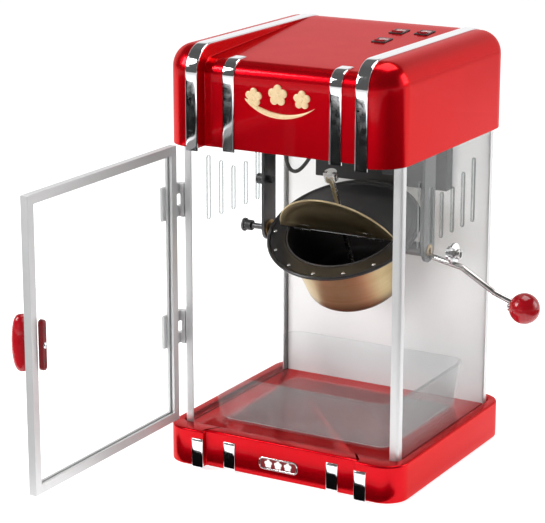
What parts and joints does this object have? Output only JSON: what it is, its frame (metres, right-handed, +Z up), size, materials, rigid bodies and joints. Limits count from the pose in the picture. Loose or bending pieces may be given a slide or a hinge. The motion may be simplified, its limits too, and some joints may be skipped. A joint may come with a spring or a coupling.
{
  "type": "popcorn maker",
  "caption": "Tabletop kettle popcorn maker: red hood and base on aluminium pillars, clear sides, swinging door, crank-tilted kettle with flap lid, lift-out tray.",
  "frame": {"origin": "on the surface it stands on, under the middle of the cabinet", "axes": "+Z up, -Y out of the front (the door side), +X towards the crank"},
  "size_m": [0.363, 0.488, 0.43],
  "materials": {
    "red_gloss": "high gloss lacquer",
    "red_dark": "gloss",
    "chrome": "polished",
    "aluminium": "satin anodised",
    "clear_acrylic": "clear, polished",
    "white_panel": "satin white",
    "zinc_plate": "zinc plated",
    "rubber": "matt",
    "cream": "gloss",
    "black_plastic": "fine moulded texture",
    "dark_metal": "satin black-grey",
    "brass": "turned",
    "bulb_glass": "frosted",
    "motor_can": "satin",
    "bright_steel": "polished stainless steel",
    "black_enamel": "satin heat-proof coat",
    "pot_lining": "non-stick coat",
    "heater_cast": "cast",
    "stirrer_steel": "bright wire",
    "tray_clear": "clear moulded"
  },
  "bodies": {
    "cabinet": {"base_shell": "red_gloss", "base_plate": "zinc_plate", "feet": "rubber", "foot_screws": "chrome", "base_strips_outer": "chrome", "base_strips_inner": "chrome", "base_badge": "chrome", "pillars_front": "aluminium", "pillars_rear": "aluminium", "side_panel_left": "clear_acrylic", "side_panel_right": "clear_acrylic", "back_panel": "white_panel", "hood_shell": "red_gloss", "hood_ceiling": "white_panel", "hood_strips_outer": "chrome", "hood_strips_inner": "chrome", "hood_ornament": "cream", "switch_bezels": "black_plastic", "switch_bodies": "black_plastic", "hanger_left": "dark_metal", "hanger_right": "dark_metal", "pivot_bushes": "brass", "panel_bush": "chrome", "pivot_cap": "black_plastic", "rear_shroud": "black_plastic", "heater_lead": "black_plastic", "lead_glands": "black_plastic", "lamp_holder": "black_plastic", "lamp_bulb": "bulb_glass", "motor": "motor_can", "gearbox": "zinc_plate", "drive_bush": "brass", "power_inlet": "black_plastic", "screws": "chrome", "hinge_blocks": "aluminium", "hinge_pins": "chrome", "magnet_catch": "black_plastic"},
    "door": {"door_frame": "aluminium", "door_pane": "clear_acrylic", "door_knuckles": "aluminium", "door_handle": "red_gloss", "handle_plate": "red_dark"},
    "kettle": {"kettle_pot": "pot_lining", "kettle_jacket": "bright_steel", "kettle_rim": "black_enamel", "rear_lid": "black_enamel", "lid_bush": "brass", "lid_pin": "chrome", "heater_plate": "heater_cast", "trunnions": "dark_metal", "crank_rod": "bright_steel", "crank_ball": "red_gloss"},
    "front_lid": {"front_lid": "bright_steel"},
    "stirrer": {"stirrer": "stirrer_steel"},
    "drive": {"drive_shaft": "zinc_plate"},
    "tray": {"tray": "tray_clear"},
    "rocker_light": {"rocker_light": "red_gloss"},
    "rocker_heat": {"rocker_heat": "red_gloss"},
    "rocker_motor": {"rocker_motor": "red_gloss"},
    "thumb_screw": {"thumb_screw": "black_plastic"}
  },
  "joints": [
    {"name": "door_swing", "type": "hinge", "parent": "cabinet", "child": "door", "pos_m": [-0.128, -0.114, 0.186], "axis": [0, 0, 1], "range_deg": [-40, 90]},
    {"name": "kettle_tilt", "type": "hinge", "parent": "cabinet", "child": "kettle", "pos_m": [0, 0.014, 0.219], "axis": [1, 0, 0], "range_deg": [-26, 84]},
    {"name": "lid_flap", "type": "hinge", "parent": "kettle", "child": "front_lid", "pos_m": [0, -0.0029, 0.22856], "axis": [1, 0, 0], "range_deg": [-15, 75]},
    {"name": "stirrer_spin", "type": "hinge", "parent": "kettle", "child": "stirrer", "pos_m": [0, 0.014, 0.219], "axis": [0, -0.4384, 0.8988], "continuous": true},
    {"name": "drive_spin", "type": "hinge", "parent": "cabinet", "child": "drive", "pos_m": [0, 0.014, 0.32], "axis": [0, 0, 1], "continuous": true},
    {"name": "tray_lift", "type": "slide", "parent": "cabinet", "child": "tray", "axis": [0, 0, 1], "range_m": [0, 0.02]},
    {"name": "light_rocker", "type": "hinge", "parent": "cabinet", "child": "rocker_light", "pos_m": [0.036, 0.0161, 0.42241], "axis": [1, 0, 0], "range_deg": [0, 14]},
    {"name": "heat_rocker", "type": "hinge", "parent": "cabinet", "child": "rocker_heat", "pos_m": [0.034, 0.0581, 0.42515], "axis": [1, 0, 0], "range_deg": [0, 14]},
    {"name": "motor_rocker", "type": "hinge", "parent": "cabinet", "child": "rocker_motor", "pos_m": [0.06, 0.0621, 0.42541], "axis": [1, 0, 0], "range_deg": [0, 14]},
    {"name": "thumb_turn", "type": "hinge", "parent": "cabinet", "child": "thumb_screw", "pos_m": [-0.091, 0.014, 0.27], "axis": [1, 0, 0], "continuous": true}
  ]
}
